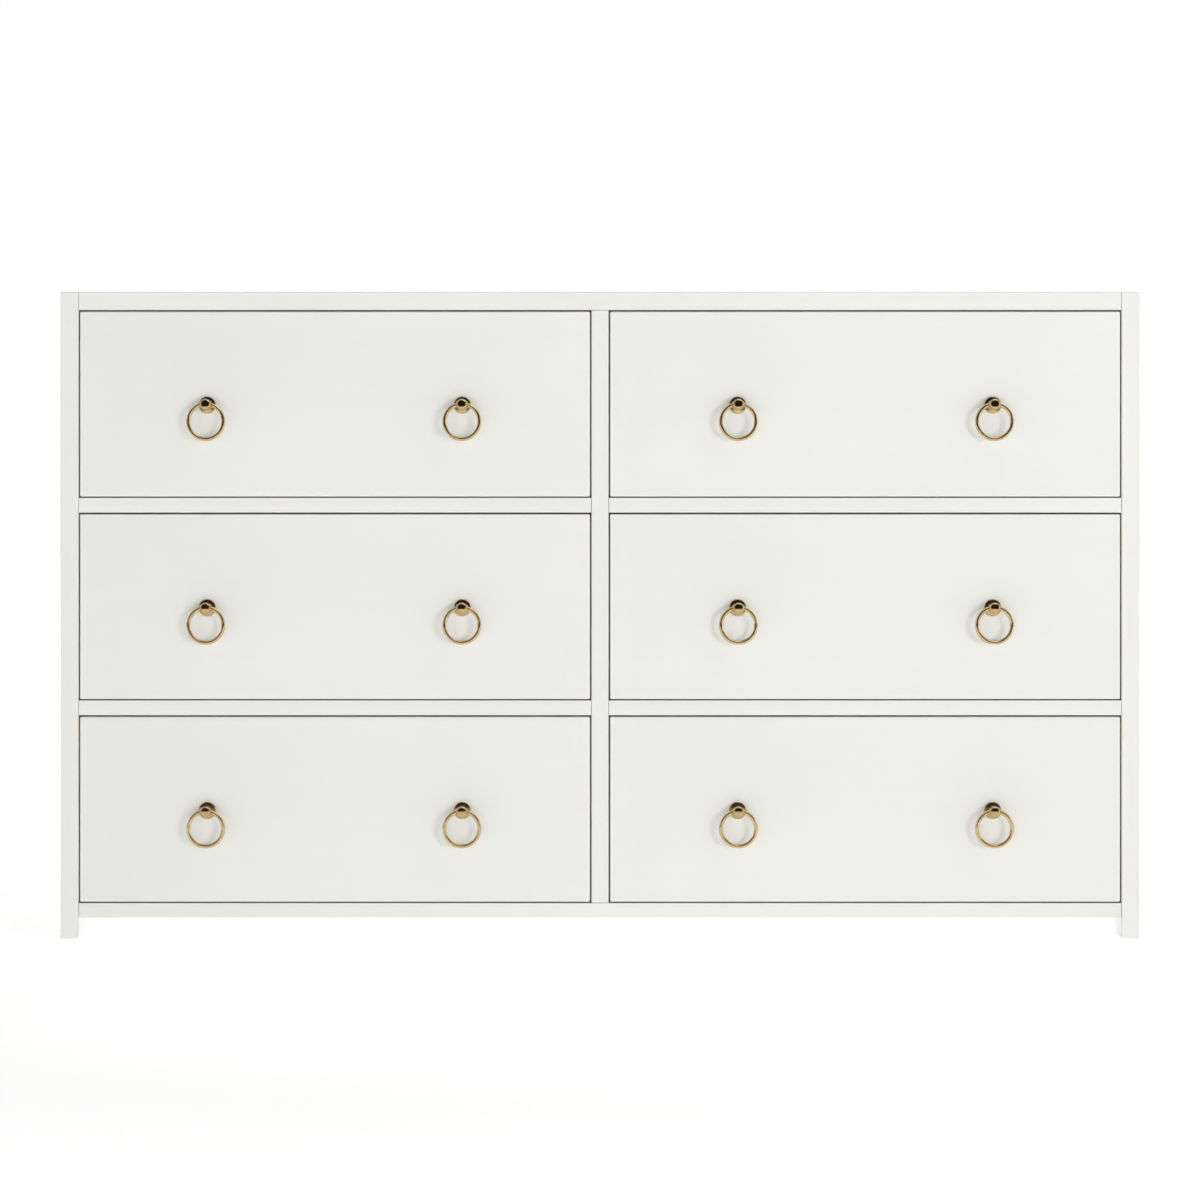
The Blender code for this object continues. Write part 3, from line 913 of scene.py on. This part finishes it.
def base_profile():
    points = []
    # a gently domed face, a round shoulder and a ball-shaped back
    dome, rim = 0.028, 0.0050
    for i in range(9):
        r = rim * i / 8
        points.append((r, KNOB_R - dome + math.sqrt(dome * dome - r * r)))
    tilt = math.asin(rim / dome)
    shoulder = (KNOB_R - rim) / (1 - math.sin(tilt))
    for i in range(1, 13):
        a = tilt + (math.pi / 2 - tilt) * i / 12
        points.append(
            (
                rim + shoulder * (math.sin(a) - math.sin(tilt)),
                points[8][1] - shoulder * (math.cos(tilt) - math.cos(a)),
            )
        )
    meet = math.pi - math.asin(NECK_R / KNOB_R)
    for i in range(13):
        a = math.pi / 2 + (meet - math.pi / 2) * i / 12
        points.append((KNOB_R * math.sin(a), KNOB_R * math.cos(a)))
    face = -KNOB_OUT
    # a cove from the neck into the rosette, a fine bead, a domed dish and a rolled rim
    neck_end = points[-1][1]
    for t in (0.25, 0.5, 0.75):
        points.append((NECK_R, neck_end + (face + 0.0080 - neck_end) * t))
    for t in [i / 8 for i in range(9)]:
        a = math.pi / 2 * t
        points.append((NECK_R + 0.0020 * (1 - math.cos(a)), face + 0.0080 - 0.0024 * math.sin(a)))
    for t in [i / 6 for i in range(1, 7)]:
        a = math.pi * t
        points.append((NECK_R + 0.0020 + 0.0005 * (1 - math.cos(a)), face + 0.0056 + 0.0004 * math.sin(a) - 0.0008 * t))
    for t in [i / 6 for i in range(1, 7)]:
        # the dish is almost flat, and falls away a little more towards the rim
        points.append((0.0066 + 0.0042 * t, face + 0.0044 - 0.0003 * t - 0.0003 * t * t))
    for t in [i / 8 for i in range(1, 9)]:
        a = math.pi / 2 * t
        points.append((0.0108 + 0.0012 * math.sin(a), face + 0.0026 + 0.0012 * math.cos(a)))
    points.append((ROSETTE_R, face + 0.0004))
    points.append((ROSETTE_R - 0.0001, face + 0.0003))
    points.append((0.0025, face + 0.0003))
    # threaded post, washer and truss head inside the drawer
    points.append((0.0025, NUT_AT))
    points.append((0.0055, NUT_AT))
    points.append((0.0055, NUT_AT - 0.0008))
    points.append((0.0047, NUT_AT - 0.0009))
    for t in [i / 6 for i in range(7)]:
        a = math.pi / 2 * t
        points.append((0.0047 * math.cos(a), NUT_AT - 0.0010 - 0.0019 * math.sin(a)))
    return points


def pull_base_mesh():
    bm = bmesh.new()
    lathe(bm, base_profile(), 56)
    mesh = finish_mesh(bm, "pull_base_turned", [MAT["brass_base"]])
    obj = add_object("pull_base_proto", mesh)
    # a turned collar stands out on each side, where the ring goes in
    collar_bm = bmesh.new()
    lathe(
        collar_bm,
        [
            (0.0, 0.0082),
            (0.0042, 0.0082),
            (0.00455, 0.00805),
            (0.0047, 0.0077),
            (0.0047, 0.0060),
            (0.0047, -0.0060),
            (0.0047, -0.0077),
            (0.00455, -0.00805),
            (0.0042, -0.0082),
            (0.0, -0.0082),
        ],
        48,
    )
    bmesh.ops.transform(collar_bm, matrix=Matrix.Rotation(math.radians(90), 4, "Z"), verts=collar_bm.verts)
    collar = add_object("collar_proto", finish_mesh(collar_bm, "collar_proto", [MAT["brass_base"]]))
    weld = obj.modifiers.new("collar", "BOOLEAN")
    weld.operation, weld.solver, weld.object = "UNION", "EXACT", collar
    bake_modifiers(obj)
    bpy.data.objects.remove(collar, do_unlink=True)
    # the eye across the knob
    tool_bm = bmesh.new()
    bmesh.ops.create_cone(tool_bm, cap_ends=True, segments=40, radius1=EYE_R, radius2=EYE_R, depth=0.04)
    bmesh.ops.transform(tool_bm, matrix=Matrix.Rotation(math.radians(90), 4, "Y"), verts=tool_bm.verts)
    # a cross recess in the screw head
    for w, l in ((0.0009, 0.0040), (0.0040, 0.0009)):
        cuboid(tool_bm, (-w / 2, -(NUT_AT - 0.0019), -l / 2), (w / 2, -(NUT_AT - 0.006), l / 2))
    tool_mesh = bpy.data.meshes.new("eye_tool")
    bmesh.ops.recalc_face_normals(tool_bm, faces=tool_bm.faces)
    tool_bm.to_mesh(tool_mesh)
    tool_bm.free()
    tool = add_object("eye_tool", tool_mesh)
    cut = obj.modifiers.new("eye", "BOOLEAN")
    cut.operation, cut.solver, cut.object, cut.use_self = "DIFFERENCE", "EXACT", tool, True
    bake_modifiers(obj)
    bpy.data.objects.remove(tool, do_unlink=True)
    done = obj.data
    bpy.data.objects.remove(obj, do_unlink=True)
    done.shade_smooth()
    done.set_sharp_from_angle(angle=math.radians(38))
    return done


def ring_mesh(major=112, minor=26):
    """The ring: round wire, hanging from the pivot at the origin."""
    bm = bmesh.new()
    grid = []
    for i in range(major):
        a = 2 * math.pi * i / major
        centre = Vector((RING_R * math.sin(a), 0, RISE - RING_R + RING_R * math.cos(a)))
        out = Vector((math.sin(a), 0, math.cos(a)))
        row = []
        for j in range(minor):
            b = 2 * math.pi * j / minor
            row.append(bm.verts.new(centre + WIRE_R * (math.cos(b) * out + math.sin(b) * Vector((0, 1, 0)))))
        grid.append(row)
    for i in range(major):
        for j in range(minor):
            k, l = (i + 1) % major, (j + 1) % minor
            bm.faces.new((grid[i][j], grid[k][j], grid[k][l], grid[i][l]))
    return finish_mesh(bm, "pull_ring_turned", [MAT["brass"]], 60)


BASE_MESH, RING_MESH = pull_base_mesh(), ring_mesh()
PIVOTS = {j["child"]: Vector(j["pos_m"]) for j in frame["joints"] if j["type"] == "hinge"}
for row in ROWS:
    for column in COLUMNS:
        for number in (1, 2):
            tag = f"{row}_{column}_{number}"
            pivot = PIVOTS["ring_" + tag]
            base = add_object(f"pull_base_{tag}_turned", BASE_MESH, pivot)
            stand_in(base, "antique_brass", "pull_base_" + tag)
            ring = add_object(f"pull_ring_{tag}_turned", RING_MESH, pivot)
            stand_in(ring, "antique_brass", "pull_ring_" + tag)

# ================================================================ floor, light
floor_bm = bmesh.new()
bmesh.ops.create_circle(floor_bm, cap_ends=True, segments=96, radius=30.0)
floor_mat = Nodes("studio_floor")
speckle = floor_mat.noise(floor_mat.coords(), 1.2, 3.0)
fx, fy, fz = floor_mat.split(floor_mat.coords())
reach = floor_mat.math(
    "SQRT",
    floor_mat.math("ADD", floor_mat.math("MULTIPLY", fx, fx), floor_mat.math("MULTIPLY", fy, fy)),
)
floor_mat.set(
    Base_Color=floor_mat.ramp(speckle, (0.3, (0.84, 0.84, 0.84)), (0.7, (0.88, 0.88, 0.88))),
    Roughness=0.6,
    Emission_Color=(1.0, 1.0, 1.0),
    Emission_Strength=floor_mat.math(
        "MAXIMUM",
        floor_mat.span(reach, 1.3, 2.8, 0.60, 0.97),
        floor_mat.span(fy, 0.26, 0.75, 0.60, 0.99),
    ),
)
# in the brass, the floor fades into the dark room past the camera
room = floor_mat.add("MixShader")
dark_floor = floor_mat.add("BsdfDiffuse")
dark_floor.inputs["Color"].default_value = (0.05, 0.048, 0.045, 1.0)
ray = floor_mat.add("LightPath")
floor_mat.link(
    floor_mat.math(
        "MULTIPLY", ray.outputs["Is Glossy Ray"], floor_mat.span(fy, -3.2, -4.2, 0.0, 1.0)
    ),
    room.inputs[0],
)
floor_mat.link(floor_mat.bsdf.outputs[0], room.inputs[1])
floor_mat.link(dark_floor.outputs[0], room.inputs[2])
floor_mat.link(room.outputs[0], floor_mat.out.inputs["Surface"])
floor_mesh = bpy.data.meshes.new("studio_floor")
floor_bm.to_mesh(floor_mesh)
floor_bm.free()
floor_mesh.materials.append(floor_mat.mat)
floor = add_object("studio_floor", floor_mesh, (0, 0, -0.0005))

world = bpy.data.worlds.new("studio")
scene.world = world
world.use_nodes = True
tree = world.node_tree
tree.nodes.clear()
out = tree.nodes.new("ShaderNodeOutputWorld")
mixer = tree.nodes.new("ShaderNodeMixShader")
seen = tree.nodes.new("ShaderNodeBackground")
seen.inputs["Color"].default_value = (1, 1, 1, 1)
seen.inputs["Strength"].default_value = 1.0
lit = tree.nodes.new("ShaderNodeBackground")
lit.inputs["Strength"].default_value = 0.06
path = tree.nodes.new("ShaderNodeLightPath")
geo = tree.nodes.new("ShaderNodeTexCoord")
parts = tree.nodes.new("ShaderNodeSeparateXYZ")
tree.links.new(geo.outputs["Generated"], parts.inputs[0])
# the room towards the front is darker, as in a studio with the lamps to the sides
dark = tree.nodes.new("ShaderNodeMapRange")
dark.inputs["From Min"].default_value = -0.95
dark.inputs["From Max"].default_value = -0.55
dark.inputs["To Min"].default_value = 0.05
dark.inputs["To Max"].default_value = 1.0
tree.links.new(parts.outputs[1], dark.inputs["Value"])
tree.links.new(dark.outputs["Result"], lit.inputs["Color"])
# what the brass mirrors: dark round the camera, light walls to the sides
ahead = tree.nodes.new("ShaderNodeMath")
ahead.operation = "MULTIPLY"
ahead.inputs[1].default_value = -1.0
tree.links.new(parts.outputs[1], ahead.inputs[0])
walls = tree.nodes.new("ShaderNodeValToRGB")
stops = ((0.40, 0.72), (0.58, 0.55), (0.70, 0.07), (0.93, 0.02))
while len(walls.color_ramp.elements) < len(stops):
    walls.color_ramp.elements.new(0.5)
for stop, (place, level) in zip(walls.color_ramp.elements, stops):
    stop.position = place
    stop.color = (level, level * 0.985, level * 0.96, 1.0)
tree.links.new(ahead.outputs[0], walls.inputs["Fac"])
mirrored = tree.nodes.new("ShaderNodeBackground")
mirrored.inputs["Strength"].default_value = 1.0
tree.links.new(walls.outputs["Color"], mirrored.inputs["Color"])
kind = tree.nodes.new("ShaderNodeMixShader")
tree.links.new(path.outputs["Is Glossy Ray"], kind.inputs["Fac"])
tree.links.new(lit.outputs[0], kind.inputs[1])
tree.links.new(mirrored.outputs[0], kind.inputs[2])
tree.links.new(path.outputs["Is Camera Ray"], mixer.inputs["Fac"])
tree.links.new(kind.outputs[0], mixer.inputs[1])
tree.links.new(seen.outputs[0], mixer.inputs[2])
tree.links.new(mixer.outputs[0], out.inputs["Surface"])


def softbox(name, location, target, size, power, spread=180.0):
    data = bpy.data.lights.new(name, "AREA")
    data.shape = "RECTANGLE"
    data.size, data.size_y = size
    data.energy = power
    data.spread = math.radians(spread)
    obj = bpy.data.objects.new(name, data)
    obj.location = location
    direction = Vector(target) - Vector(location)
    obj.rotation_euler = direction.to_track_quat("-Z", "Y").to_euler()
    obj.visible_camera = False
    scene.collection.objects.link(obj)
    return obj


softbox("side_right", (4.2, -1.9, 1.0), (0.3, 0, 0.45), (0.9, 1.6), 15.0)
softbox("side_left", (-4.2, -1.9, 1.0), (-0.3, 0, 0.45), (0.8, 1.4), 7.0)
softbox("top_soft", (1.1, -0.9, 3.3), (0.3, 0, 0.6), (2.6, 2.2), 24.0)
# the other lamps light the paint and cast the rings' shadows, but are kept out of the brass's reflections
for lamp in (
    softbox("key", (3.6, -5.7, 0.6), (0.1, 0, 0.45), (1.7, 1.7), 112.0),
    softbox("left_beam", (-3.9, -5.2, 0.5), (-0.85, 0, 0.40), (1.3, 1.3), 0.9, 26.0),
    softbox("high_right", (1.7, -1.9, 1.9), (0.5, 0, 0.6), (1.2, 0.8), 2.5),
    softbox("low_front", (0.0, -3.2, 0.12), (0, 0, 0.2), (2.6, 0.3), 19.0),
    softbox("behind_top", (0.0, 0.9, 2.6), (0, 0.35, 0.9), (3.0, 0.6), 3.5, 50.0),
):
    lamp.visible_glossy = False

# ====================================================================== camera
DISTANCE, EYE_X, EYE_Z, MID_Z = 3.70, -0.03, 0.58, 0.479
cam_data = bpy.data.cameras.new("camera")
cam_data.sensor_width = 36.0
cam_data.lens = 36.0 * DISTANCE / 1.6949
cam_data.shift_x = -EYE_X / 1.6949
cam_data.shift_y = (MID_Z - EYE_Z) / 1.6949
cam_data.clip_end = 200.0
camera = bpy.data.objects.new("camera", cam_data)
camera.location = (EYE_X, Y_FRONT - DISTANCE, EYE_Z)
camera.rotation_euler = (math.radians(90), 0, 0)
scene.collection.objects.link(camera)
scene.camera = camera
scene.view_settings.view_transform = "Standard"
scene.view_settings.look = "None"
scene.view_settings.exposure = 0.0
